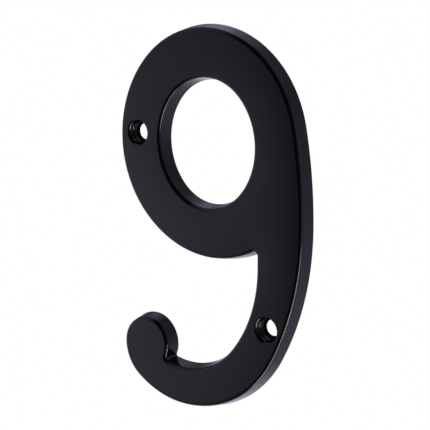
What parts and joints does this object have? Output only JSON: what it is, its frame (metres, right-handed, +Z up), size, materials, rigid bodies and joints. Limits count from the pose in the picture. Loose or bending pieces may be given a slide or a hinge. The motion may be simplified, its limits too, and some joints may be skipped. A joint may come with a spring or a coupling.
{
  "type": "door number",
  "caption": "Cast figure nine for a door or wall: flat back, leaning walls, flat face with a rounded edge, open counter, ball-ended tail and stepped screw holes, coated satin black.",
  "frame": {"origin": "middle of the numeral's height and width, on the flat back that lies against the door", "axes": "+Z up the numeral, -Y out of the face towards the viewer, +X to the viewer's right"},
  "size_m": [0.0456, 0.0032, 0.076],
  "materials": {
    "black_coat": "satin black coating over cast brass"
  },
  "bodies": {
    "root": {"numeral_nine": "black_coat"}
  },
  "joints": []
}
